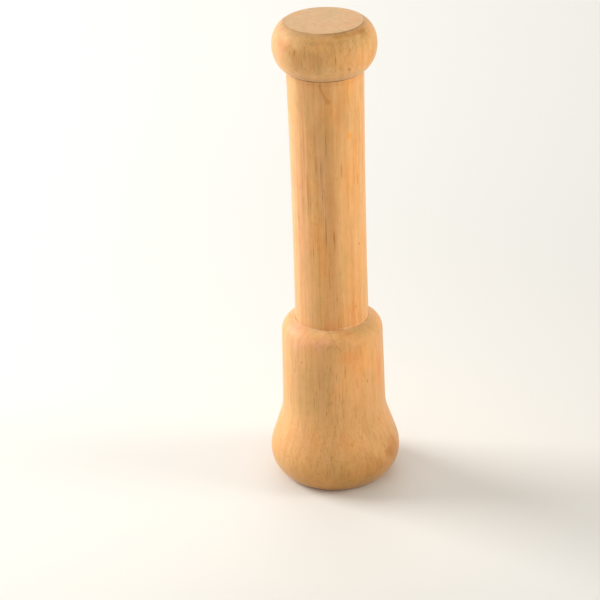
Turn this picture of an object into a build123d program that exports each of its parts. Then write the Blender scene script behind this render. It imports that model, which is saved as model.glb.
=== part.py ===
from build123d import *
import math
import os

# A pastry tamper that stands on its pressing head: a bell-shaped head, a round
# handle shaft and a rounded grip knob, each turned from its own piece of pale
# hardwood. The foot of the shaft sits in a shallow round seat in the head. A
# fluted dowel is glued across each of the two joints.
#
# Frame: millimetres, +Z up along the turning axis. The origin is the centre of
# the flat foot, on the surface that the tamper stands on.

os.makedirs("parts", exist_ok=True)

# ---- Driving dimensions ----

total_height = 265.0

# Pressing head, with heights measured from the foot
head_height = 95.0
foot_flat_radius = 28.2
head_wide_radius = 35.8        # widest ring of the head
head_wide_z = 14.5
head_upper_round = 22.0        # rounding above the widest ring
flare_angle = 18.4             # slope of the flare, in degrees from the axis
flare_top_z = 40.0             # where the flare would meet the waist
flare_fillet = 30.0
waist_top_radius = 27.6        # the waist narrows slightly up to the shoulder
shoulder_angle = 24.0          # slope of the shoulder, in degrees from level
shoulder_round = 8.0

# Handle shaft: a round bar with a slightly hollow side
shaft_foot_radius = 20.1
shaft_mid_radius = 19.9
shaft_mid_z = 160.0
shaft_top_radius = 20.6
seat_depth = 15.0              # how far the foot of the shaft sits in the head

# Grip knob: a flattened ball, cut off flat on top
knob_height = 26.5
knob_wide_radius = 27.75
knob_wide_rise = 14.0          # widest ring above the seam with the shaft
knob_lower_width = 10.75       # semi-axes of the ellipse below the widest ring
knob_lower_drop = 14.8
knob_upper_width = 9.75        # semi-axes of the ellipse above it
knob_upper_rise = 13.0

# Edge breaks
seat_mouth_chamfer = 0.3
shaft_top_chamfer = 0.4        # leaves a fine V groove under the knob
shaft_foot_chamfer = 0.8

# Fluted dowels. The rise is how much of the dowel lies above its joint face.
head_dowel_radius = 6.0
head_dowel_length = 60.0
head_dowel_rise = 30.0
head_dowel_flutes = 14
knob_dowel_radius = 5.0
knob_dowel_length = 40.0
knob_dowel_rise = 17.0
knob_dowel_flutes = 12
dowel_chamfer = 1.5
flute_radius = 0.6
glue_pocket = 1.0              # hole depth left beyond each end of a dowel

# ---- Heights and angles worked out from them ----

seat_z = head_height - seat_depth
knob_seam_z = total_height - knob_height
knob_wide_z = knob_seam_z + knob_wide_rise
head_dowel_drop = head_dowel_length - head_dowel_rise
knob_dowel_drop = knob_dowel_length - knob_dowel_rise
shoulder_slope = math.tan(math.radians(shoulder_angle))
shoulder_corner_z = head_height - shoulder_slope * (waist_top_radius - shaft_foot_radius)

# How far round its ellipse each side of the knob runs from the widest ring
knob_lower_sweep = math.degrees(math.asin(knob_wide_rise / knob_lower_drop))
knob_upper_sweep = math.degrees(math.asin((knob_height - knob_wide_rise) / knob_upper_rise))


def corner_at(profile, radius, height):
    """The corner of a half-profile that is nearest to a radius and height."""
    return profile.vertices().sort_by_distance((radius, height))[0]


def fluted_dowel(radius, bottom_z, length, flutes):
    """A round dowel with chamfered ends and glue flutes along its side."""
    with BuildPart() as dowel:
        with BuildSketch(Plane.XY.offset(bottom_z)):
            Circle(radius)
        extrude(amount=length)
        chamfer(dowel.edges().filter_by(GeomType.CIRCLE), length=dowel_chamfer)
        with BuildSketch(Plane.XY.offset(bottom_z)):
            with PolarLocations(radius, flutes):
                Circle(flute_radius)
        extrude(amount=length, mode=Mode.SUBTRACT)
    return dowel


# ---- Pressing head ----

with BuildPart() as tamper_head:
    with BuildSketch(Plane.XZ) as head_profile:
        with BuildLine():
            # Foot edge, from the widest ring down to the flat
            TangentArc(
                (head_wide_radius, head_wide_z),
                (foot_flat_radius, 0),
                tangent=(0, -1),
            )
            belly = JernArc(
                start=(head_wide_radius, head_wide_z),
                tangent=(0, 1),
                radius=head_upper_round,
                arc_size=flare_angle,
            )
            flare_length = (flare_top_z - (belly @ 1).Y) / (belly % 1).Y
            flare = Line(belly @ 1, belly @ 1 + (belly % 1) * flare_length)
            Polyline(
                flare @ 1,
                (waist_top_radius, shoulder_corner_z),
                (shaft_foot_radius, head_height),
                (0, head_height),
                (0, 0),
                (foot_flat_radius, 0),
            )
        make_face()
        fillet(corner_at(head_profile, (flare @ 1).X, flare_top_z), radius=flare_fillet)
        fillet(
            corner_at(head_profile, waist_top_radius, shoulder_corner_z),
            radius=shoulder_round,
        )
    revolve(axis=Axis.Z)
    # Seat for the foot of the shaft, and the dowel hole in its floor
    with Locations((0, 0, head_height)):
        Hole(shaft_foot_radius, depth=seat_depth)
    with Locations((0, 0, seat_z)):
        Hole(head_dowel_radius, depth=head_dowel_drop + glue_pocket)
    seat_mouth = tamper_head.edges().filter_by(GeomType.CIRCLE).group_by(Axis.Z)[-1]
    chamfer(seat_mouth, length=seat_mouth_chamfer)

tamper_head.part.label = "tamper_head"
export_step(tamper_head.part, "parts/tamper_head.step")

# ---- Handle shaft ----

with BuildPart() as handle_shaft:
    with BuildSketch(Plane.XZ) as shaft_profile:
        with BuildLine():
            ThreePointArc(
                (shaft_foot_radius, head_height),
                (shaft_mid_radius, shaft_mid_z),
                (shaft_top_radius, knob_seam_z),
            )
            Polyline(
                (shaft_top_radius, knob_seam_z),
                (0, knob_seam_z),
                (0, seat_z),
                (shaft_foot_radius, seat_z),
                (shaft_foot_radius, head_height),
            )
        make_face()
        chamfer(corner_at(shaft_profile, shaft_top_radius, knob_seam_z), shaft_top_chamfer)
        chamfer(corner_at(shaft_profile, shaft_foot_radius, seat_z), shaft_foot_chamfer)
    revolve(axis=Axis.Z)
    # Dowel holes in the two ends
    with Locations((0, 0, knob_seam_z)):
        Hole(knob_dowel_radius, depth=knob_dowel_drop + glue_pocket)
    with BuildSketch(Plane.XY.offset(seat_z)):
        Circle(head_dowel_radius)
    extrude(amount=head_dowel_rise + glue_pocket, mode=Mode.SUBTRACT)

handle_shaft.part.label = "handle_shaft"
export_step(handle_shaft.part, "parts/handle_shaft.step")

# ---- Grip knob ----

with BuildPart() as grip_knob:
    with BuildSketch(Plane.XZ):
        with BuildLine():
            lower_side = EllipticalCenterArc(
                (knob_wide_radius - knob_lower_width, knob_wide_z),
                knob_lower_width,
                knob_lower_drop,
                start_angle=-knob_lower_sweep,
                arc_size=knob_lower_sweep,
            )
            upper_side = EllipticalCenterArc(
                (knob_wide_radius - knob_upper_width, knob_wide_z),
                knob_upper_width,
                knob_upper_rise,
                arc_size=knob_upper_sweep,
            )
            Polyline(
                upper_side @ 1,
                (0, total_height),
                (0, knob_seam_z),
                lower_side @ 0,
            )
        make_face()
    revolve(axis=Axis.Z)
    # Dowel hole in the underside
    with BuildSketch(Plane.XY.offset(knob_seam_z)):
        Circle(knob_dowel_radius)
    extrude(amount=knob_dowel_rise + glue_pocket, mode=Mode.SUBTRACT)

grip_knob.part.label = "grip_knob"
export_step(grip_knob.part, "parts/grip_knob.step")

# ---- Dowels, hidden inside the two joints ----

head_dowel = fluted_dowel(
    head_dowel_radius,
    seat_z - head_dowel_drop,
    head_dowel_length,
    head_dowel_flutes,
)
head_dowel.part.label = "head_dowel"
export_step(head_dowel.part, "parts/head_dowel.step")

knob_dowel = fluted_dowel(
    knob_dowel_radius,
    knob_seam_z - knob_dowel_drop,
    knob_dowel_length,
    knob_dowel_flutes,
)
knob_dowel.part.label = "knob_dowel"
export_step(knob_dowel.part, "parts/knob_dowel.step")
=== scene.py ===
import math

import bmesh
import bpy
from mathutils import Matrix, Vector


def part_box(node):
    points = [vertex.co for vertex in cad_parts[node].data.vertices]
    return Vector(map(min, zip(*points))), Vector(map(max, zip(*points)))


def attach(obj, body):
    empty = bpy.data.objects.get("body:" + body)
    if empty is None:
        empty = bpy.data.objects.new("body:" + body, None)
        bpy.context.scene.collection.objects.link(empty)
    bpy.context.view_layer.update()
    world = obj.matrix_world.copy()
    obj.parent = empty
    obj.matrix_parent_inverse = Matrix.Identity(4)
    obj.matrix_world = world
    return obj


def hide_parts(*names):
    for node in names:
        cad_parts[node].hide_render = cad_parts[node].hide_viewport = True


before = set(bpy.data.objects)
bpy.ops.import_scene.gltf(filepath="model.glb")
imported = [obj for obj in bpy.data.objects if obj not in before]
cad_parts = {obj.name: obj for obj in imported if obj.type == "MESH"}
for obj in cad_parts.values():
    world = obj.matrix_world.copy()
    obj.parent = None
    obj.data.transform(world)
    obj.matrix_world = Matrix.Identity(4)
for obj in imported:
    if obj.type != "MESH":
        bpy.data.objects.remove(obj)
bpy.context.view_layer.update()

# A turned hardwood pastry tamper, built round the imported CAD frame.
#
# Lengths inside the object are in millimetres and heights are heights above the
# foot, as on a turner's drawing. MM turns them into Blender's metres. The main
# sizes are read from the frame. An azimuth is an angle about +Z in degrees: 0 faces
# the camera (-Y) and positive angles go round to the right (+X).

MM = 0.001


def frame_size(node):
    """(radius, lowest height, highest height) of a round CAD node, in millimetres."""
    low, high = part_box(node)
    return high.x / MM, low.z / MM, high.z / MM


HEAD_RADIUS, FOOT_Z, _ = frame_size("tamper_head")
SHAFT_RADIUS, SEAT_Z, KNOB_SEAM_Z = frame_size("handle_shaft")
KNOB_RADIUS, _, TOP_Z = frame_size("grip_knob")
HEAD_DOWEL_RADIUS, HEAD_DOWEL_LOW, HEAD_DOWEL_HIGH = frame_size("head_dowel")
KNOB_DOWEL_RADIUS, KNOB_DOWEL_LOW, KNOB_DOWEL_HIGH = frame_size("knob_dowel")

# Outline of the head
HEAD_HEIGHT = 95.0
FOOT_FLAT_RADIUS = 28.2
HEAD_WIDE_Z = 14.5
BELLY_ROUND = 22.0
FLARE_SLOPE = math.radians(18.4)
FLARE_TOP_Z = 40.0
FLARE_FILLET = 30.0
WAIST_TOP_RADIUS = 27.6
SHOULDER_SLOPE = math.radians(24.0)
SHOULDER_ROUND = 8.0

# Outline of the shaft
SHAFT_FOOT_RADIUS = 20.1
SHAFT_MID_RADIUS = 19.9
SHAFT_MID_Z = 160.0

# Outline of the knob
KNOB_WIDE_Z = KNOB_SEAM_Z + 14.0
KNOB_LOWER = (10.75, 14.8)     # semi-axes of the ellipse below the widest ring
KNOB_UPPER = (9.75, 13.0)      # and of the one above it

# Joints
SEAM_V = 0.35                  # eased edges that meet in the groove under the knob
SEAT_MOUTH = 0.3
GLUE_LINE = 0.05
GLUE_POCKET = 1.0

RIM_EASE = 0.3                 # the edge of the flat on top, rubbed down by hand

# Shallow lines left by the lathe, under the knob and on the shoulder
LATHE_LINE_DEPTH = 0.05
SHAFT_LINE_DROPS = (0.9, 1.7, 2.4)
SHAFT_LINE_WIDTH = 0.22
SHOULDER_LINE_RADII = (21.2, 22.3, 23.8)
SHOULDER_LINE_WIDTH = 0.25

# Mesh density: points round the axis, and steps along an outline
SEGMENTS = 256
STEP = 0.5
FINE_STEP = 0.12               # eased edges
ROUND_STEP = 0.4               # the round of the shoulder
FLAT_STEP = 1.0                # the flat on top
SHAFT_STEP = 1.2
FOOT_STEP = 1.5
SEAT_STEP = 3.0                # seats and glue pockets, which nobody sees
BORE_STEP = 6.0
ON_AXIS = 1e-6
SHARP_ANGLE = math.radians(19)


# ---------------------------------------------------------------- outlines


class Outline:
    """A half-profile of (radius, height) points, drawn from piece to piece."""

    def __init__(self, radius, height):
        self.points = [(radius, height)]

    def line_to(self, radius, height, step=STEP):
        r0, z0 = self.points[-1]
        count = max(1, math.ceil(math.hypot(radius - r0, height - z0) / step))
        for i in range(1, count + 1):
            t = i / count
            self.points.append((r0 + (radius - r0) * t, z0 + (height - z0) * t))
        return self

    def curve_to(self, radius, height, via, step=STEP):
        """A parabola-like bend towards a corner, tangent to both of its arms."""
        r0, z0 = self.points[-1]
        first_arm = math.hypot(via[0] - r0, via[1] - z0)
        second_arm = math.hypot(radius - via[0], height - via[1])
        length = first_arm + second_arm
        count = max(3, math.ceil(length / step))
        for i in range(1, count + 1):
            t = i / count
            a, b, c = (1 - t) ** 2, 2 * t * (1 - t), t * t
            self.points.append((a * r0 + b * via[0] + c * radius, a * z0 + b * via[1] + c * height))
        return self

    def arc(self, centre, semi_axes, start, end, step=STEP):
        """An arc of a circle or of an upright ellipse, between two angles in radians."""
        count = max(3, math.ceil(abs(end - start) * max(semi_axes) / step))
        for i in range(1, count + 1):
            angle = start + (end - start) * i / count
            radius = centre[0] + semi_axes[0] * math.cos(angle)
            height = centre[1] + semi_axes[1] * math.sin(angle)
            self.points.append((radius, height))
        return self

    def round_corner(self, corner, end, radius, step=STEP):
        """Go straight towards a corner, round it with an arc, and stop where the arc ends."""
        r0, z0 = self.points[-1]
        arrive = Vector((corner[0] - r0, corner[1] - z0)).normalized()
        leave = Vector((end[0] - corner[0], end[1] - corner[1])).normalized()
        turn = arrive.angle_signed(leave)
        reach = radius * math.tan(abs(turn) / 2)
        start = Vector(corner) - arrive * reach
        self.line_to(start.x, start.y, step)
        side = -math.copysign(1.0, turn)
        centre = start + Vector((-arrive.y, arrive.x)) * radius * side
        first = math.atan2(start.y - centre.y, start.x - centre.x)
        self.arc(centre, (radius, radius), first, first - turn, step)
        return self


def divided_near(points, lines):
    """The same outline, with short steps where a line will be scribed."""
    fine = points[:1]
    for radius, height in points[1:]:
        r0, z0 = fine[-1]
        length = math.hypot(radius - r0, height - z0)
        count = 1
        for line_r, line_z, width, _ in lines:
            away = math.hypot((radius + r0) / 2 - line_r, (height + z0) / 2 - line_z)
            if away < length / 2 + 3 * width:
                count = max(count, math.ceil(length / (width / 3)))
        for i in range(1, count + 1):
            fine.append((r0 + (radius - r0) * i / count, z0 + (height - z0) * i / count))
    return fine


def engraved(points, lines):
    """Scribes shallow turned lines into an outline. Each is (radius, height, half-width, depth)."""
    fine = divided_near(points, lines)
    cut = list(fine)
    for i in range(1, len(fine) - 1):
        along = (Vector(fine[i + 1]) - Vector(fine[i - 1])).normalized()
        depth = 0
        for line_r, line_z, width, deepest in lines:
            away = math.hypot(fine[i][0] - line_r, fine[i][1] - line_z)
            depth += deepest * math.exp(-((away / width) ** 2))
        cut[i] = (fine[i][0] - along.y * depth, fine[i][1] + along.x * depth)
    return cut


def surface_radius(outline, height):
    """The outermost radius of an outline at a height."""
    found = 0
    for (r0, z0), (r1, z1) in zip(outline, outline[1:]):
        if z0 != z1 and min(z0, z1) <= height <= max(z0, z1):
            found = max(found, r0 + (r1 - r0) * (height - z0) / (z1 - z0))
    return found


def shoulder_height(radius):
    """Height of the head's sloping shoulder at a radius."""
    return HEAD_HEIGHT - math.tan(SHOULDER_SLOPE) * (radius - SHAFT_FOOT_RADIUS)


SHAFT_LINES = [
    (SHAFT_RADIUS, KNOB_SEAM_Z - drop, SHAFT_LINE_WIDTH, LATHE_LINE_DEPTH) for drop in SHAFT_LINE_DROPS
]
SHOULDER_LINES = [
    (radius, shoulder_height(radius), SHOULDER_LINE_WIDTH, LATHE_LINE_DEPTH)
    for radius in SHOULDER_LINE_RADII
]


def head_outline():
    foot_reach = HEAD_RADIUS - FOOT_FLAT_RADIUS
    foot_round = (foot_reach**2 + HEAD_WIDE_Z**2) / (2 * foot_reach)
    foot_start = -math.asin(HEAD_WIDE_Z / foot_round)
    flare_r = HEAD_RADIUS - BELLY_ROUND * (1 - math.cos(FLARE_SLOPE))
    flare_z = HEAD_WIDE_Z + BELLY_ROUND * math.sin(FLARE_SLOPE)
    flare_top_r = flare_r - (FLARE_TOP_Z - flare_z) * math.tan(FLARE_SLOPE)
    waist_top = (WAIST_TOP_RADIUS, shoulder_height(WAIST_TOP_RADIUS))
    mouth_r = SHAFT_FOOT_RADIUS + SEAT_MOUTH
    mouth = (mouth_r, shoulder_height(mouth_r))
    outline = Outline(0, FOOT_Z)
    outline.line_to(FOOT_FLAT_RADIUS, FOOT_Z, FOOT_STEP)
    foot_centre = (HEAD_RADIUS - foot_round, HEAD_WIDE_Z)
    outline.arc(foot_centre, (foot_round, foot_round), foot_start, 0)
    belly_centre = (HEAD_RADIUS - BELLY_ROUND, HEAD_WIDE_Z)
    outline.arc(belly_centre, (BELLY_ROUND, BELLY_ROUND), 0, FLARE_SLOPE)
    outline.round_corner((flare_top_r, FLARE_TOP_Z), waist_top, FLARE_FILLET)
    outline.round_corner(waist_top, mouth, SHOULDER_ROUND, ROUND_STEP)
    outline.line_to(*mouth, FINE_STEP)
    outline.line_to(SHAFT_FOOT_RADIUS, HEAD_HEIGHT - SEAT_MOUTH * 2, FINE_STEP)
    outline.line_to(SHAFT_FOOT_RADIUS, SEAT_Z, SEAT_STEP)
    outline.line_to(HEAD_DOWEL_RADIUS, SEAT_Z, SEAT_STEP)
    outline.line_to(HEAD_DOWEL_RADIUS, HEAD_DOWEL_LOW - GLUE_POCKET, BORE_STEP)
    outline.line_to(0, HEAD_DOWEL_LOW - GLUE_POCKET, SEAT_STEP)
    return engraved(outline.points, SHOULDER_LINES)


def shaft_side(z):
    """Radius of the hollow side: the parabola through its foot, middle and top."""
    foot, mid, top = HEAD_HEIGHT, SHAFT_MID_Z, KNOB_SEAM_Z
    return (
        SHAFT_FOOT_RADIUS * (z - mid) * (z - top) / ((foot - mid) * (foot - top))
        + SHAFT_MID_RADIUS * (z - foot) * (z - top) / ((mid - foot) * (mid - top))
        + SHAFT_RADIUS * (z - foot) * (z - mid) / ((top - foot) * (top - mid))
    )


def shaft_outline():
    seated = SHAFT_FOOT_RADIUS - GLUE_LINE
    outline = Outline(0, HEAD_DOWEL_HIGH + GLUE_POCKET)
    outline.line_to(HEAD_DOWEL_RADIUS, HEAD_DOWEL_HIGH + GLUE_POCKET, SEAT_STEP)
    outline.line_to(HEAD_DOWEL_RADIUS, SEAT_Z, BORE_STEP)
    outline.line_to(seated, SEAT_Z, SEAT_STEP)
    outline.line_to(seated, HEAD_HEIGHT - SEAT_MOUTH, SEAT_STEP)
    side_top = KNOB_SEAM_Z - SEAM_V
    count = math.ceil((side_top - HEAD_HEIGHT) / SHAFT_STEP)
    for i in range(count + 1):
        z = HEAD_HEIGHT + (side_top - HEAD_HEIGHT) * i / count
        outline.points.append((shaft_side(z), z))
    eased = (SHAFT_RADIUS - 0.1 * SEAM_V, KNOB_SEAM_Z - 0.2 * SEAM_V)
    outline.curve_to(SHAFT_RADIUS - SEAM_V, KNOB_SEAM_Z, eased, FINE_STEP)
    outline.line_to(KNOB_DOWEL_RADIUS, KNOB_SEAM_Z, SEAT_STEP)
    outline.line_to(KNOB_DOWEL_RADIUS, KNOB_DOWEL_LOW - GLUE_POCKET, BORE_STEP)
    outline.line_to(0, KNOB_DOWEL_LOW - GLUE_POCKET, SEAT_STEP)
    return engraved(outline.points, SHAFT_LINES)


def knob_rim_radius():
    """Where the flat on top of the knob would meet its side, with no easing."""
    turn = math.asin((TOP_Z - KNOB_WIDE_Z) / KNOB_UPPER[1])
    return KNOB_RADIUS - KNOB_UPPER[0] * (1 - math.cos(turn))


def knob_outline():
    lower_turn = math.asin((KNOB_WIDE_Z - KNOB_SEAM_Z) / KNOB_LOWER[1])
    upper_turn = math.asin((TOP_Z - RIM_EASE / 2 - KNOB_WIDE_Z) / KNOB_UPPER[1])
    lower_centre = (KNOB_RADIUS - KNOB_LOWER[0], KNOB_WIDE_Z)
    upper_centre = (KNOB_RADIUS - KNOB_UPPER[0], KNOB_WIDE_Z)
    rim = knob_rim_radius()
    outline = Outline(0, KNOB_DOWEL_HIGH + GLUE_POCKET)
    outline.line_to(KNOB_DOWEL_RADIUS, KNOB_DOWEL_HIGH + GLUE_POCKET, SEAT_STEP)
    outline.line_to(KNOB_DOWEL_RADIUS, KNOB_SEAM_Z, BORE_STEP)
    seam_radius = lower_centre[0] + KNOB_LOWER[0] * math.cos(lower_turn) - SEAM_V
    outline.line_to(seam_radius, KNOB_SEAM_Z, SEAT_STEP)
    outline.arc(lower_centre, KNOB_LOWER, -lower_turn, 0)
    outline.arc(upper_centre, KNOB_UPPER, 0, upper_turn)
    outline.curve_to(rim - RIM_EASE, TOP_Z, (rim, TOP_Z), FINE_STEP)
    outline.line_to(0, TOP_Z, FLAT_STEP)
    return outline.points


# ---------------------------------------------------------------- meshes


def ring_of_vertices(bm, radius, height):
    """One ring of the turned mesh. A point on the axis is shared by the whole ring."""
    if radius < ON_AXIS:
        return [bm.verts.new((0, 0, height * MM))] * SEGMENTS
    ring = []
    for i in range(SEGMENTS):
        angle = 2 * math.pi * i / SEGMENTS
        x = radius * MM * math.cos(angle)
        y = radius * MM * math.sin(angle)
        ring.append(bm.verts.new((x, y, height * MM)))
    return ring


def turned_piece(name, outline, node, material):
    """Turns an outline into a closed mesh that stands for a CAD node."""
    bm = bmesh.new()
    rings = [ring_of_vertices(bm, radius, height) for radius, height in outline]
    for lower, upper in zip(rings, rings[1:]):
        for i in range(SEGMENTS):
            j = (i + 1) % SEGMENTS
            corners = dict.fromkeys((lower[i], lower[j], upper[j], upper[i]))
            bm.faces.new(corners).smooth = True
    bmesh.ops.recalc_face_normals(bm, faces=bm.faces)
    mesh = bpy.data.meshes.new(name)
    bm.to_mesh(mesh)
    bm.free()
    mesh.set_sharp_from_angle(angle=SHARP_ANGLE)
    mesh.materials.append(material)
    piece = bpy.data.objects.new(name, mesh)
    bpy.context.scene.collection.objects.link(piece)
    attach(piece, "root")
    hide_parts(node)


# ---------------------------------------------------------------- materials


class Nodes:
    """Builds the nodes of one material. Its calls take and return sockets."""

    def __init__(self, name):
        self.material = bpy.data.materials.new(name)
        self.material.use_nodes = True
        self.tree = self.material.node_tree
        self.shader = self.tree.nodes["Principled BSDF"]

    def feed(self, socket, value):
        """Links an input to a socket, or sets it to a plain value."""
        if isinstance(value, bpy.types.NodeSocket):
            self.tree.links.new(value, socket)
        else:
            socket.default_value = value

    def add(self, kind, inputs, **settings):
        """Adds a shader node. settings are properties of the node itself."""
        node = self.tree.nodes.new("ShaderNode" + kind)
        for key, value in settings.items():
            setattr(node, key, value)
        for key, value in inputs.items():
            self.feed(node.inputs[key], value)
        return node

    def math(self, operation, a, b=0.0):
        return self.add("Math", {0: a, 1: b}, operation=operation).outputs[0]

    def vector(self, operation, a, b):
        return self.add("VectorMath", {0: a, 1: b}, operation=operation).outputs["Vector"]

    def length(self, a):
        return self.add("VectorMath", {0: a}, operation="LENGTH").outputs["Value"]

    def noise(self, place, size, detail=2.0, roughness=0.5):
        """Smooth noise, centred on 0.5, that changes over about a size along each axis."""
        inputs = {"Vector": self.vector("DIVIDE", place, size), "Scale": 1.0}
        inputs.update({"Detail": detail, "Roughness": roughness})
        return self.add("TexNoise", inputs).outputs["Fac"]

    def push(self, place, size, reach, detail):
        """A vector of noise, centred on 0. reach is how far it pushes along each axis."""
        inputs = {"Vector": self.vector("DIVIDE", place, size), "Scale": 1.0, "Detail": detail}
        colour = self.add("TexNoise", inputs).outputs["Color"]
        return self.vector("MULTIPLY", self.vector("SUBTRACT", colour, (0.5, 0.5, 0.5)), reach)

    def fade(self, value, low, high, to_low=0.0, to_high=1.0):
        """A smooth step from to_low, at low, to to_high, at high."""
        span = {"From Min": low, "From Max": high, "To Min": to_low, "To Max": to_high}
        node = self.add("MapRange", {"Value": value, **span}, interpolation_type="SMOOTHSTEP")
        return node.outputs["Result"]

    def mix(self, factor, a, b, blend="MIX"):
        node = self.add("Mix", {}, data_type="RGBA", blend_type=blend)
        sockets = {socket.identifier: socket for socket in node.inputs}
        self.feed(sockets["Factor_Float"], factor)
        self.feed(sockets["A_Color"], a)
        self.feed(sockets["B_Color"], b)
        return next(socket for socket in node.outputs if socket.identifier == "Result_Color")

    def height_of(self, vector):
        return self.add("SeparateXYZ", {"Vector": vector}).outputs["Z"]

    def from_axis(self, vector):
        """How far a point is from the Z axis."""
        return self.length(self.vector("MULTIPLY", vector, (1, 1, 0)))

    def tint(self, factor, colour, tint):
        """Multiplies a colour by a tint, as far as factor says."""
        return self.mix(factor, colour, (*tint, 1.0), "MULTIPLY")

    def lay(self, value, fade, colour, tint):
        """Tints a colour by a value. fade is where the tint starts, where it is full, and its strength."""
        start, full, strength = fade
        return self.tint(self.fade(value, start, full, 0.0, strength), colour, tint)


# Noise behind the patterns in the wood. A size is in millimetres: across, across and
# along the fibres. A reach is how far it pushes a place, in millimetres.
WANDER_NOISE = {"size": (30, 30, 90), "detail": 1.0}
WAVER_NOISE = {"size": (2.2, 2.2, 11), "reach": (0.3, 0.3, 0), "detail": 1.0}
YEAR_NOISE = {"size": (20, 20, 90), "detail": 1.0}
BAND_NOISE = {"size": (3.2, 3.2, 110), "detail": 2.0, "roughness": 0.55}
HUE_NOISE = {"size": (4.2, 4.2, 75), "detail": 1.5}
CLOUD_NOISE = {"size": (14, 14, 26), "detail": 2.0}
FIBRE_NOISE = {"detail": 3.0, "roughness": 0.6}
FIBRE_WIDTH = 0.7
MOTTLE_NOISE = {"size": (2.4, 2.4, 6), "detail": 3.0, "roughness": 0.55}
THREAD_NOISE = {"size": (0.26, 0.26, 9), "detail": 2.0, "roughness": 0.6}
PATCH_NOISE = {"size": (8, 8, 24), "detail": 1.0}
UNEVEN_NOISE = {"size": (6, 6, 6), "detail": 2.0}
SANDING_NOISE = {"size": (9, 9, 0.3), "detail": 2.0, "roughness": 0.7}

# Where in the noise two of the patterns are taken from, so that they differ from the others
HUE_SHIFT = (71, 23, 5)
CLOUD_SHIFT = (7, 53, 85)

# How the patterns fade in: the value of the noise where one starts, and where it is full
BANDS = (0.3, 0.7)
PINK_HUES = (0.52, 0.68)
YELLOW_HUES = (0.48, 0.32)
DARK_FIBRES = (0.5, 0.75)
PATCHES = (0.35, 0.65)
# Painted shade towards the foot of the head: the heights where it starts and where it is full
FOOT_SHADE_HEIGHTS = (32.0, 0.0)

# The same, with the strength that a pattern has on every piece
ORANGE_CLOUDS = (0.5, 0.7, 0.8)
OLIVE_CLOUDS = (0.48, 0.32, 0.7)
MOTTLING = (0.45, 0.7, 0.4)
DARK_THREADS = (0.5, 0.78, 0.5)
SANDING_MARKS = (0.5, 0.8, 0.25)

# A year: how far through it the late wood starts, is full, and ends
LATE_WOOD_START = 0.35
LATE_WOOD_FULL = 0.93
LATE_WOOD_END = 0.96

# Vessels: (a cell's width and length, a fleck's part of it, share of the cells, strength)
SHORT_VESSELS = [
    ((0.55, 4.0), 0.33, 0.65, 0.65),
    ((1.2, 9.0), 0.24, 0.45, 0.7),
]
LONG_VESSELS = ((2.6, 24.0), 0.15, 0.30)
SMALLEST_FLECK = 0.25
FAINTEST_FLECK = 0.45
FLECK_CORE = 0.3
NO_FLECK = 1e-4
CROWDING_IN_PATCHES = (0.55, 1.15)
CROWDING_IN_LATE_WOOD = (0.9, 1.15)

# Marks: the part of each that has its full strength, and what makes their edges uneven
SPOT_CORE = 0.25
CIRCLE_CORE = 0.3
SMALL_SHAKE = {"size": (0.8, 0.8, 3), "reach": (0.25, 0.25, 1.5), "detail": 2.0}
CLOUDY_SHAKE = {"size": (9, 9, 12), "reach": (9, 9, 12), "detail": 2.0}
CLOUD_FROM = 2.5               # half-width above which a spot has cloudy edges
CIRCLE_STRENGTHS = (0.35, 0.6, 0.35, 1.0)    # two values of the noise, and the strengths there

# Surface: roughness that dark fibres and vessels add, and relief in millimetres
FIBRE_ROUGHNESS = 0.18
VESSEL_ROUGHNESS = 0.25
THREAD_RELIEF = 0.022
VESSEL_DEPTH = 0.06
SANDING_RELIEF = 0.012
SPECULAR_LEVEL = 0.4
SHEEN_WEIGHT = 0.32
SHEEN_ROUGHNESS = 0.45
SHEEN_TINT = (1.0, 0.95, 0.86, 1.0)


def evenly(count):
    """That many numbers from 0 to 1."""
    return [i / (count - 1) for i in range(count)]


def wood_places(n, cut):
    """(inside, board, grain): millimetres in the object, in its board, and along wandering fibres."""
    inside = n.vector("DIVIDE", n.add("TexCoord", {}).outputs["Object"], (MM, MM, MM))
    board = n.vector("ADD", inside, cut["shift"])
    grain = n.vector("ADD", board, n.push(board, reach=cut["wander"], **WANDER_NOISE))
    return inside, board, n.vector("ADD", grain, n.push(board, **WAVER_NOISE))


def growth_rings(n, cut, board, grain):
    """0 in the pale early wood, rising to 1 in the thin late-wood line that ends each year."""
    leaning = {"Vector": grain, "Location": (*cut["pith"], 0), "Rotation": cut["lean"]}
    radius = n.from_axis(n.add("Mapping", leaning).outputs["Vector"])
    years = n.math("DIVIDE", radius, cut["ring_width"])
    years = n.math("ADD", years, n.noise(board, **YEAR_NOISE))
    phase = n.math("FRACT", years)
    rise = n.fade(phase, LATE_WOOD_START, LATE_WOOD_FULL)
    return n.math("MULTIPLY", rise, n.fade(phase, 1.0, LATE_WOOD_END))


def vessels(n, place, size, reach, share, crowd):
    """Soft dark flecks along the fibres, each in a cell of its own."""
    width, length = size
    stretched = n.vector("DIVIDE", place, (width, width, length))
    cells = n.add("TexVoronoi", {"Vector": stretched, "Scale": 1.0})
    dice = n.add("SeparateColor", {"Color": cells.outputs["Color"]}).outputs
    present = n.math("GREATER_THAN", dice["Red"], 1 - share)
    present = n.math("MULTIPLY", present, n.fade(dice["Red"], 1 - share, 1.0, SMALLEST_FLECK, 1.0))
    radius = n.math("MULTIPLY", n.math("MULTIPLY", present, reach), crowd)
    radius = n.math("MAXIMUM", radius, NO_FLECK)
    fleck = n.fade(cells.outputs["Distance"], radius, n.math("MULTIPLY", radius, FLECK_CORE))
    return n.math("MULTIPLY", fleck, n.fade(dice["Green"], 0.0, 1.0, FAINTEST_FLECK, 1.0))


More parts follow.
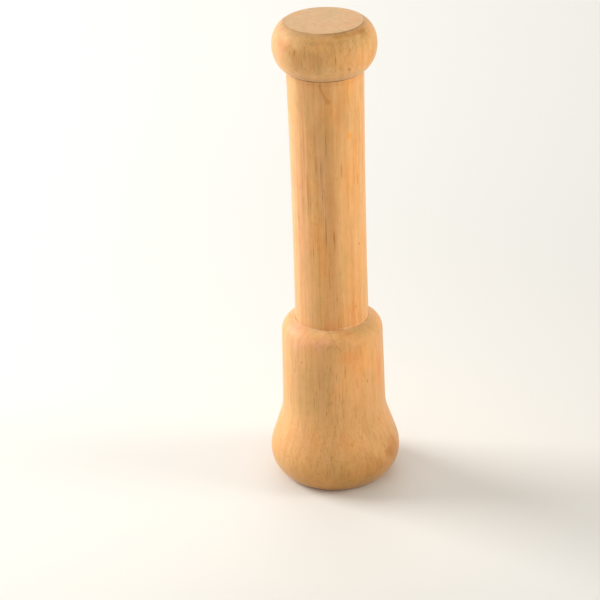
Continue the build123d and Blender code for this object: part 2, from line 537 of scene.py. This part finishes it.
def crowded_vessels(n, cut, board, grain, late_wood):
    """Vessels of three sizes, crowded in patches and towards the late wood."""
    patches = n.fade(n.noise(board, **PATCH_NOISE), *PATCHES, *CROWDING_IN_PATCHES)
    crowd = n.math("MULTIPLY", patches, n.fade(late_wood, 0.0, 1.0, *CROWDING_IN_LATE_WOOD))
    darkest = 0.0
    for size, reach, share, strength in (*SHORT_VESSELS, (*LONG_VESSELS, cut["long_vessels"])):
        flecks = n.math("MULTIPLY", vessels(n, grain, size, reach, share, crowd), strength)
        darkest = n.math("MAXIMUM", darkest, flecks)
    return darkest


def broad_colour(n, cut, board, grain):
    """Bands along the fibres, and clouds of pink, yellow, orange and olive."""
    band = n.noise(grain, **BAND_NOISE)
    colour = n.mix(n.fade(band, *BANDS, *cut["bands"]), (*PALE, 1.0), (*TAN, 1.0))
    hue = n.noise(n.vector("ADD", grain, HUE_SHIFT), **HUE_NOISE)
    colour = n.lay(hue, (*PINK_HUES, cut["hues"]), colour, PINK)
    colour = n.lay(hue, (*YELLOW_HUES, cut["hues"]), colour, YELLOW)
    cloud = n.noise(n.vector("ADD", board, CLOUD_SHIFT), **CLOUD_NOISE)
    colour = n.lay(cloud, ORANGE_CLOUDS, colour, ORANGE)
    return n.lay(cloud, OLIVE_CLOUDS, colour, OLIVE)


def with_end_grain_and_sheen(n, cut, colour):
    """Where a surface faces up or down, its fibres are cut across: the tint makes end grain greyer, and on
    the head it is a painted sheen that makes the upward faces bluer.
    """
    facing = n.height_of(n.add("TexCoord", {}).outputs["Normal"])
    across = n.fade(n.math("ABSOLUTE", facing), *cut["end_facing"])
    return n.tint(across, colour, cut["end_grain_and_sheen"])


def shaken_place(n, place, shake):
    """A place pushed about by noise, so that what is drawn there gets an uneven edge."""
    return n.vector("ADD", place, n.push(place, **shake))


def spot_mask(n, place, centre, half_width, half_length):
    """1 inside a long soft spot round a point, 0 outside it."""
    offset = n.vector("SUBTRACT", place, centre)
    away = n.length(n.vector("DIVIDE", offset, (half_width, half_width, half_length)))
    return n.fade(away, 1.0, SPOT_CORE)


def with_spots(n, colour, inside, clouded, outline, spots):
    """Draws the listed marks, on the surface at their azimuth and height."""
    shaken = shaken_place(n, inside, SMALL_SHAKE)
    for azimuth, height, half_width, half_length, strength, tint in spots:
        angle = math.radians(azimuth)
        radius = surface_radius(outline, height)
        centre = (radius * math.sin(angle), -radius * math.cos(angle), height)
        place = clouded if half_width > CLOUD_FROM else shaken
        mask = spot_mask(n, place, centre, half_width, half_length)
        colour = n.tint(n.math("MULTIPLY", mask, strength), colour, tint)
    return colour


def circle_mask(n, inside, radius, height, half_width):
    """1 on a circle round the axis, fading to 0 at half_width from it."""
    outward = n.math("SUBTRACT", n.from_axis(inside), radius)
    upward = n.math("SUBTRACT", n.height_of(inside), height)
    offset = n.add("CombineXYZ", {"X": outward, "Y": upward})
    return n.fade(n.length(offset.outputs["Vector"]), half_width, half_width * CIRCLE_CORE)


def with_circles(n, colour, inside, circles):
    """Draws what turning and gluing left round the axis, and painted highlights and shade at the seams and
    the rim, unevenly.
    """
    uneven = n.fade(n.noise(inside, **UNEVEN_NOISE), *CIRCLE_STRENGTHS)
    for radius, height, half_width, strength, tint in circles:
        mask = n.math("MULTIPLY", circle_mask(n, inside, radius, height, half_width), uneven)
        colour = n.tint(n.math("MULTIPLY", mask, strength), colour, tint)
    return colour


def dry_surface(n, cut, fibre, thread, vessel, sanding):
    """Dry, sanded wood, a little rougher along its fibres and in its vessels."""
    roughness = n.math("MULTIPLY", fibre, FIBRE_ROUGHNESS)
    roughness = n.math("ADD", roughness, n.math("MULTIPLY", vessel, VESSEL_ROUGHNESS))
    n.feed(n.shader.inputs["Roughness"], n.math("ADD", roughness, cut["roughness"]))
    n.shader.inputs["Specular IOR Level"].default_value = SPECULAR_LEVEL
    n.shader.inputs["Sheen Weight"].default_value = SHEEN_WEIGHT
    n.shader.inputs["Sheen Roughness"].default_value = SHEEN_ROUGHNESS
    n.shader.inputs["Sheen Tint"].default_value = SHEEN_TINT
    relief = n.math("MULTIPLY", thread, THREAD_RELIEF)
    relief = n.math("SUBTRACT", relief, n.math("MULTIPLY", vessel, VESSEL_DEPTH))
    relief = n.math("ADD", relief, n.math("MULTIPLY", sanding, SANDING_RELIEF))
    bump = n.add("Bump", {"Height": relief, "Strength": 1.0, "Distance": MM})
    n.feed(n.shader.inputs["Normal"], bump.outputs["Normal"])


def turned_wood(name, cut, outline=(), spots=(), circles=()):
    """Pale hardwood with its fibres along +Z. cut says where in the board a piece was sawn."""
    n = Nodes(name)
    inside, board, grain = wood_places(n, cut)
    clouded = shaken_place(n, inside, CLOUDY_SHAKE)
    late_wood = growth_rings(n, cut, board, grain)
    fibre = n.noise(grain, (FIBRE_WIDTH, FIBRE_WIDTH, cut["fibre_length"]), **FIBRE_NOISE)
    mottle = n.noise(inside, **MOTTLE_NOISE)
    thread = n.noise(grain, **THREAD_NOISE)
    vessel = crowded_vessels(n, cut, board, grain, late_wood)
    sanding = n.noise(inside, **SANDING_NOISE)

    colour = broad_colour(n, cut, board, grain)
    colour = with_end_grain_and_sheen(n, cut, colour)
    colour = n.tint(n.math("MULTIPLY", late_wood, cut["ring_strength"]), colour, LATE_WOOD)
    colour = n.lay(fibre, (*DARK_FIBRES, cut["fibres"]), colour, BROWN)
    colour = n.lay(mottle, MOTTLING, colour, MOTTLE)
    colour = n.lay(thread, DARK_THREADS, colour, BROWN)
    colour = n.tint(vessel, colour, STREAK)
    colour = with_spots(n, colour, inside, clouded, outline, spots)
    colour = with_circles(n, colour, inside, circles)
    # Painted shade: darker towards the foot of the head
    colour = n.lay(n.height_of(clouded), (*FOOT_SHADE_HEIGHTS, cut["foot_shade"]), colour, FOOT_SHADE)
    colour = n.lay(sanding, SANDING_MARKS, colour, BROWN)
    n.feed(n.shader.inputs["Base Color"], colour)
    dry_surface(n, cut, fibre, thread, vessel, sanding)
    return n.material


# Two wood colours, and tints that multiply them
PALE = (0.845, 0.468, 0.182)
TAN = (0.75, 0.380, 0.127)
PINK = (1.04, 0.97, 1.12)
YELLOW = (0.99, 1.00, 0.84)
ORANGE = (1.03, 0.91, 0.76)
OLIVE = (0.88, 0.92, 0.88)
BROWN = (0.83, 0.72, 0.57)
MOTTLE = (0.88, 0.84, 0.77)
LATE_WOOD = (0.90, 0.80, 0.66)
STREAK = (0.64, 0.48, 0.27)
# Stain in the wood; where marked below it is painted shade
STAIN_AND_SHADE = (0.84, 0.70, 0.46)
RIM_SHADE = (0.70, 0.60, 0.42)
# Painted shade, darker towards the foot
FOOT_SHADE = (0.66, 0.60, 0.32)
# Painted highlight: pale pink, where the light from the left falls
PAINTED_PINK_HIGHLIGHT = (1.10, 1.05, 1.32)
PALER = (1.13, 1.12, 1.08)
CHALKY = (1.02, 1.10, 1.22)
AMBER = (1.02, 0.82, 0.42)
GRIME = (0.36, 0.24, 0.11)
# Painted highlight for the seam at the foot of the shaft
PAINTED_SEAM_HIGHLIGHT = (1.15, 1.4, 2.0)

# How each piece was sawn from its board, and how strong the patterns are on it:
# shift, where in the board it comes from; pith and lean, the axis of the years;
# wander, how far the fibres stray; bands, the share of TAN from band to band;
# end_facing, how squarely a surface faces up or down where end grain starts and is
# full; end_grain_and_sheen, its tint, which on the head is a painted sheen, bluer on the
# upward faces; foot_shade, the strength of painted shade towards the foot. The others
# are widths, lengths, strengths and roughness.
HEAD_CUT = {
    "shift": (13, 47, 5), "pith": (-60, 75), "lean": (0.02, -0.03, 0), "wander": (2.5, 2.5, 12),
    "ring_width": 5.0, "ring_strength": 0.25, "bands": (0.3, 0.75), "hues": 0.3,
    "fibre_length": 16, "fibres": 0.9, "long_vessels": 0.5,
    "end_facing": (0.75, 0.95), "end_grain_and_sheen": (0.92, 1.02, 1.15), "foot_shade": 0.9, "roughness": 0.52,
}
SHAFT_CUT = {
    "shift": (60, -90, 15), "pith": (-75, -20), "lean": (0.012, 0.02, 0), "wander": (4, 4, 12),
    "ring_width": 5.0, "ring_strength": 0.3, "bands": (0.0, 0.85), "hues": 0.45,
    "fibre_length": 34, "fibres": 0.6, "long_vessels": 0.6,
    "end_facing": (0.75, 0.95), "end_grain_and_sheen": (0.90, 0.95, 0.98), "foot_shade": 0.0, "roughness": 0.5,
}
KNOB_CUT = {
    "shift": (-43, 17, -61), "pith": (75, 20), "lean": (-0.02, 0.03, 0), "wander": (2, 2, 12),
    "ring_width": 4.0, "ring_strength": 0.3, "bands": (0.25, 0.85), "hues": 0.4,
    "fibre_length": 20, "fibres": 0.85, "long_vessels": 0.2,
    "end_facing": (0.4, 0.98), "end_grain_and_sheen": (0.71, 0.75, 0.72), "foot_shade": 0.0, "roughness": 0.52,
}
HEAD_DOWEL_CUT = {
    "shift": (31, -64, 22), "pith": (-20, 30), "lean": (0.02, 0.02, 0), "wander": (2, 2, 12),
    "ring_width": 3.5, "ring_strength": 0.8, "bands": (0.0, 1.0), "hues": 0.5,
    "fibre_length": 20, "fibres": 0.7, "long_vessels": 0.6,
    "end_facing": (0.75, 0.95), "end_grain_and_sheen": (0.82, 0.84, 0.86), "foot_shade": 0.0, "roughness": 0.44,
}
KNOB_DOWEL_CUT = {**HEAD_DOWEL_CUT, "shift": (-12, 38, 71), "pith": (25, 18)}

# Marks in the wood, and painted light and shade where marked: (azimuth, height, half-width, half-length,
# strength, tint)
HEAD_SPOTS = [
    # Painted light: warm orange where the light from the right falls
    (32, 77, 12, 13, 0.7, ORANGE),
    (20, 68, 13, 20, 0.7, PALER),
    (44, 78, 9, 12, 0.5, PALER),
    # Painted shade: darker low on the right of the head
    (68, 17, 12, 10, 0.7, STAIN_AND_SHADE),
    (-50, 58, 10, 24, 0.6, OLIVE),
    # Painted highlight: pale pink where the light from the left falls on the shoulder
    (-24, 88, 12, 6, 0.6, PAINTED_PINK_HIGHLIGHT),
    # Painted light: warm orange where the light from the right falls
    (60, 70, 9, 22, 0.6, ORANGE),
    # Painted highlight on the left of the shoulder, as above
    (-50, 88, 14, 8, 1.0, PAINTED_PINK_HIGHLIGHT),
    (-58, 94, 12, 6, 0.9, PAINTED_PINK_HIGHLIGHT),
    (-14, 90, 9, 5, 0.7, PAINTED_PINK_HIGHLIGHT),
    # Painted light: pinker where the cool light from the left falls
    (-45, 70, 7, 22, 0.6, PINK),
    (14, 82, 7, 7, 0.6, ORANGE),
    # Painted shadow of the shaft on the right of the shoulder, away from the light from the left
    (48, 93, 12, 5, 0.5, OLIVE),
    (56, 94, 15, 8, 0.9, OLIVE),
    (20, 82, 7, 6, 0.5, ORANGE),
    (-14, 62, 10, 22, 0.6, OLIVE),
    (-34, 62, 10, 22, 0.5, OLIVE),
    # Painted shadow of the shaft on the shoulder, as above
    (24, 94, 9, 4, 0.6, OLIVE),
    # Painted shade, darker low on the front and the right of the head
    (57, 19, 5, 4, 0.9, STAIN_AND_SHADE),
    (35, 14, 16, 8, 0.5, STAIN_AND_SHADE),
    (8, 14, 6, 7, 0.4, STAIN_AND_SHADE),
    (-37.8, 77, 0.6, 0.7, 0.9, STREAK),
    (-49.3, 70, 0.4, 2.6, 0.8, STREAK),
    (41, 64, 0.45, 1.6, 0.9, STREAK),
    (13, 73, 0.4, 6.0, 0.75, STREAK),
    (3, 70, 0.35, 4.0, 0.75, STREAK),
    (-3, 75, 0.35, 3.5, 0.7, STREAK),
    (55.8, 37.7, 0.7, 0.9, 0.9, STREAK),
    (42, 36, 0.45, 1.2, 0.7, STREAK),
    (-3.8, 23.7, 0.65, 1.0, 0.85, STREAK),
    (-9, 48, 0.4, 2.4, 0.8, STREAK),
    (28, 32, 0.4, 1.2, 0.8, STREAK),
    # The hairline on the shoulder, in two parts
    *[(-9.5 + 8 * t, 94.95 - 1.9 * t**2, 0.55, 0.6, 0.4, STREAK) for t in evenly(9)],
    *[(-1.5 + 10.3 * t, 93 - 7.2 * t, 0.55, 1.0, 0.4, STREAK) for t in evenly(8)],
    # Flecks low on the head
    (-28, 22, 0.6, 0.8, 0.7, STREAK),
    (-38, 15, 0.5, 1.2, 0.7, STREAK),
    (-16, 14, 0.5, 1.4, 0.7, STREAK),
    (-50, 19, 0.6, 0.7, 0.6, STREAK),
    (-22, 8, 0.6, 0.7, 0.6, STREAK),
    (12, 9, 0.4, 1.8, 0.7, STREAK),
    (1, 7, 0.4, 1.6, 0.6, STREAK),
    (25, 45, 0.4, 1.5, 0.6, STREAK),
    (-20, 60, 0.4, 2.0, 0.6, STREAK),
    (-8, 62, 0.35, 3.0, 0.6, STREAK),
    (6, 58, 0.35, 4.0, 0.6, STREAK),
    (0, 40, 0.4, 1.6, 0.6, STREAK),
]
SHAFT_SPOTS = [
    (-16, 165, 4.5, 50, 0.6, PALER),
    (30, 232, 6, 12, 0.4, PALER),
    # Painted light: pinker where the cool light from the left falls
    (-50, 165, 8, 90, 0.6, PINK),
    (-6, 175, 7, 75, 0.15, OLIVE),
    # Painted light: warm orange where the light from the right falls
    (42, 112, 9, 35, 0.5, ORANGE),
    # The swirl under the knob
    *[(-8 + 12 * t**2, 237 - 10 * t, 1.3, 1.7, 0.7, STAIN_AND_SHADE) for t in evenly(8)],
    # Pale and dark bands
    (-26, 155, 5, 70, 0.6, PALER),
    (-18, 225, 5, 18, 0.5, PALER),
    (26, 150, 5, 60, 0.5, PALER),
    (-10, 125, 5, 40, 0.5, PALER),
    # Painted highlight: a pale pink sheen along the lit left edge of the shaft
    (-82, 165, 2.4, 90, 0.7, PAINTED_PINK_HIGHLIGHT),
    (-71, 165, 2.4, 90, 0.6, PAINTED_PINK_HIGHLIGHT),
    (-12, 128, 2.4, 40, 0.5, PALER),
    (-62, 170, 1.3, 80, 0.8, PINK),
    (-55, 175, 0.9, 90, 0.5, BROWN),
    (-48, 160, 1.2, 70, 0.8, PINK),
    (-43, 180, 0.8, 60, 0.5, BROWN),
    (-38, 205, 0.7, 30, 0.45, BROWN),
    (-33, 175, 0.6, 17, 0.6, STREAK),
    (-29, 170, 0.4, 12, 0.5, STREAK),
    (-31, 205, 0.5, 22, 0.35, STREAK),
    (-9, 172, 0.5, 40, 0.35, STREAK),
    (-10.7, 187, 0.4, 12, 0.55, STREAK),
    (-17.7, 191, 0.7, 7, 0.4, STREAK),
    (20.7, 188, 0.6, 7, 0.65, STREAK),
    (-5.4, 152, 0.5, 14, 0.85, STREAK),
    (-5.8, 172, 0.4, 9, 0.55, STREAK),
    (-12, 163, 0.4, 16, 0.5, STREAK),
    (7.7, 147, 0.45, 9, 0.6, STREAK),
    (-2, 126, 0.5, 12, 0.45, STREAK),
    (-26.4, 140, 0.55, 12, 0.5, STREAK),
    (-17, 135, 0.5, 22, 0.3, STREAK),
    (-2, 203, 0.45, 11, 0.5, STREAK),
    (51.4, 179.5, 0.5, 4.5, 0.6, STREAK),
    (36, 225, 0.4, 7, 0.5, STREAK),
    (10, 165, 4, 26, 0.25, STAIN_AND_SHADE),
    (-2, 212, 7, 16, 0.4, OLIVE),
    (30, 225, 7, 14, 0.5, OLIVE),
    (51, 212, 4.5, 22, 0.8, OLIVE),
    # The amber spot, and the pit
    (35.5, 206.5, 2.5, 3.3, 1.0, AMBER),
    (52.5, 142.5, 0.5, 0.8, 1.0, GRIME),
    (41.8, 106.5, 0.45, 1.3, 0.8, STREAK),
    (9, 113, 0.4, 1.8, 0.6, STREAK),
    # Painted highlight along the foot, on the right side of the shaft
    *[(12 + 66 * t, HEAD_HEIGHT + 0.45, 1.9, 0.6, 0.75, PAINTED_SEAM_HIGHLIGHT) for t in evenly(12)],
]
KNOB_SPOTS = [
    (6, 245, 15, 6, 0.9, CHALKY),
    # Painted shade on the upper right of the knob, away from the light from the left
    (22, 259, 15, 5, 0.9, OLIVE),
    (46, 258, 10, 6, 0.9, OLIVE),
    (66, 259, 8, 6, 0.8, OLIVE),
    # The pale edge beside the flat on top, and painted shade on the upper right: a darker smudge under the
    # rim and a dark line along it
    *[(-34 + 60 * t, TOP_Z - 2.2, 2.4, 2.0, 0.8, PALER) for t in evenly(11)],
    (-46, 252, 7, 8, 0.8, OLIVE),
    (0, 242, 13, 5, 0.8, PALER),
    (-10, 260, 8, 3.5, 0.9, PALER),
    (-37, 255, 2.4, 5, 0.5, BROWN),
    # Painted shade on the right of the knob
    (66, 252, 6, 8, 0.6, OLIVE),
    # Painted shade under the right front of the rim, down to the dark line along it
    *[(14 + 50 * t, TOP_Z - 1.5, 2.4, 1.6, 0.55, STAIN_AND_SHADE) for t in evenly(10)],
    (45, 262, 7, 3, 0.6, OLIVE),
    (52, 259, 9, 5, 0.9, OLIVE),
    (58, 261, 6, 3, 0.8, STAIN_AND_SHADE),
    *[(2 + 72 * t, TOP_Z - 0.3, 1.9, 0.8, 0.6, RIM_SHADE) for t in evenly(12)],
    (-52, 258, 7, 5, 0.6, STAIN_AND_SHADE),
    (-32, 251, 5, 8, 0.5, STAIN_AND_SHADE),
    # Painted light: warm orange on the right, where the light from the right falls, and pink on the left,
    # where the cool light from the left falls
    (62, 249, 6, 8, 0.8, ORANGE),
    (-62, 255, 9, 8, 0.9, PINK),
    (-34.6, 256, 1.1, 3.4, 0.65, STREAK),
    (-41, 255, 0.7, 3.4, 0.55, STREAK),
    (-22, 255, 1.2, 4.0, 0.35, STREAK),
    (-34, 246, 1.8, 2.2, 0.35, STREAK),
    (11.6, 252.5, 0.6, 3.4, 0.75, STREAK),
    (4, 255, 0.8, 2.5, 0.3, STREAK),
    (28.4, 257, 1.1, 1.6, 0.5, STREAK),
    (28, 246.3, 1.3, 1.4, 0.8, STREAK),
    (35, 260.5, 0.6, 0.6, 0.6, STREAK),
    (-8, 261, 0.5, 0.5, 0.5, STREAK),
]

# Traces round the axis: (radius, height, half-width, strength, tint)
HEAD_CIRCLES = [
    # Painted highlight round the mouth of the seat
    (SHAFT_FOOT_RADIUS + 0.2, HEAD_HEIGHT - 0.2, 0.6, 0.9, PAINTED_SEAM_HIGHLIGHT),
    *[(radius, height, 0.3, 0.35, BROWN) for radius, height, _, _ in SHOULDER_LINES],
]
SHAFT_CIRCLES = [
    # Painted highlight round the foot of the shaft
    (SHAFT_FOOT_RADIUS, HEAD_HEIGHT - 0.2, 0.6, 0.9, PAINTED_SEAM_HIGHLIGHT),
    (SHAFT_RADIUS - SEAM_V, KNOB_SEAM_Z, 0.55, 1.0, GRIME),
    *[(radius, height, 0.3, 0.6, BROWN) for radius, height, _, _ in SHAFT_LINES],
]
KNOB_CIRCLES = [
    (SHAFT_RADIUS - SEAM_V, KNOB_SEAM_Z, 0.5, 1.0, GRIME),
    # Painted shade: a dark line round the rim of the flat on top
    (knob_rim_radius() + 0.3, TOP_Z - 0.15, 0.6, 0.6, RIM_SHADE),
]

# ---------------------------------------------------------------- pieces

HEAD_OUTLINE = head_outline()
SHAFT_OUTLINE = shaft_outline()
KNOB_OUTLINE = knob_outline()

head_look = turned_wood("head_wood_look", HEAD_CUT, HEAD_OUTLINE, HEAD_SPOTS, HEAD_CIRCLES)
shaft_look = turned_wood("shaft_wood_look", SHAFT_CUT, SHAFT_OUTLINE, SHAFT_SPOTS, SHAFT_CIRCLES)
knob_look = turned_wood("knob_wood_look", KNOB_CUT, KNOB_OUTLINE, KNOB_SPOTS, KNOB_CIRCLES)

turned_piece("pressing_head", HEAD_OUTLINE, "tamper_head", head_look)
turned_piece("handle_bar", SHAFT_OUTLINE, "handle_shaft", shaft_look)
turned_piece("palm_knob", KNOB_OUTLINE, "grip_knob", knob_look)

# The dowels keep their CAD shape, and get the same kind of wood from another board
for node, cut in (("head_dowel", HEAD_DOWEL_CUT), ("knob_dowel", KNOB_DOWEL_CUT)):
    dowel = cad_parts[node]
    look = turned_wood(node + "_look", cut)
    for material_slot in dowel.material_slots:
        material_slot.material = look

# ---------------------------------------------------------------- stage

FLOOR_HALF = 4.0
FLOOR_CORNERS = [(-1, -1), (1, -1), (1, 1), (-1, 1)]
FLOOR_COLOUR = (0.79, 0.775, 0.735)
FLOOR_ROUGHNESS = 0.6


def plain(name, colour, roughness):
    """One even colour, for the floor."""
    material = bpy.data.materials.new(name)
    material.use_nodes = True
    shader = material.node_tree.nodes["Principled BSDF"]
    shader.inputs["Base Color"].default_value = (*colour, 1)
    shader.inputs["Roughness"].default_value = roughness
    return material


floor_mesh = bpy.data.meshes.new("floor")
floor_points = [(x * FLOOR_HALF, y * FLOOR_HALF, 0) for x, y in FLOOR_CORNERS]
floor_mesh.from_pydata(floor_points, [], [(0, 1, 2, 3)])
floor_mesh.materials.append(plain("pale_floor", FLOOR_COLOUR, FLOOR_ROUGHNESS))
floor = bpy.data.objects.new("floor", floor_mesh)
floor.location.z = FOOT_Z * MM
bpy.context.scene.collection.objects.link(floor)

# The camera stands in front of the tamper and looks down on it
CAMERA_PLACE = Vector((0, -1.262, 0.7155))
CAMERA_PITCH = math.radians(25.85)
CAMERA_YAW = math.radians(0.78)
CAMERA_ROLL = math.radians(-1.93)
CAMERA_LENS = 153.96
CAMERA_SENSOR = 36

camera_data = bpy.data.cameras.new("camera")
camera_data.lens = CAMERA_LENS
camera_data.sensor_width = CAMERA_SENSOR
camera = bpy.data.objects.new("camera", camera_data)
turn = (
    Matrix.Rotation(CAMERA_YAW, 4, "Z")
    @ Matrix.Rotation(math.pi / 2 - CAMERA_PITCH, 4, "X")
    @ Matrix.Rotation(CAMERA_ROLL, 4, "Z")
)
camera.matrix_world = Matrix.Translation(CAMERA_PLACE) @ turn
bpy.context.scene.collection.objects.link(camera)
bpy.context.scene.camera = camera

# Lamps aim at a point on the axis, this part of the way up the tamper
LAMP_AIM = 0.7
WORLD_COLOUR = (1.0, 0.985, 0.95, 1)
WORLD_STRENGTH = 0.6


def soft_light(name, azimuth, elevation, distance, size, power, colour, spread=180):
    """A square lamp that faces the tamper. Its angles are in degrees, its lengths in metres."""
    target = Vector((0, 0, TOP_Z * MM * LAMP_AIM))
    a = math.radians(azimuth)
    e = math.radians(elevation)
    towards = Vector((math.sin(a) * math.cos(e), -math.cos(a) * math.cos(e), math.sin(e)))
    lamp = bpy.data.lights.new(name, "AREA")
    lamp.shape = "SQUARE"
    lamp.size = size
    lamp.energy = power
    lamp.spread = math.radians(spread)
    lamp.color = colour
    holder = bpy.data.objects.new(name, lamp)
    holder.location = target + towards * distance
    holder.rotation_euler = towards.to_track_quat("Z", "Y").to_euler()
    bpy.context.scene.collection.objects.link(holder)


# Daylight from the left, a warm reflection from the right, and a faint panel behind
soft_light("left_window", -112, 24, 1.6, 0.9, 28, (1.0, 0.99, 0.98))
soft_light("right_fill", 82, 20, 0.55, 0.3, 0.24, (1.0, 0.90, 0.76), 50)
soft_light("back_panel", 180, 25, 1.6, 1.6, 5, (1.0, 1.0, 1.0))

world = bpy.data.worlds.new("studio")
world.use_nodes = True
background = world.node_tree.nodes["Background"]
background.inputs["Color"].default_value = WORLD_COLOUR
background.inputs["Strength"].default_value = WORLD_STRENGTH
bpy.context.scene.world = world
bpy.context.scene.view_settings.view_transform = "Standard"
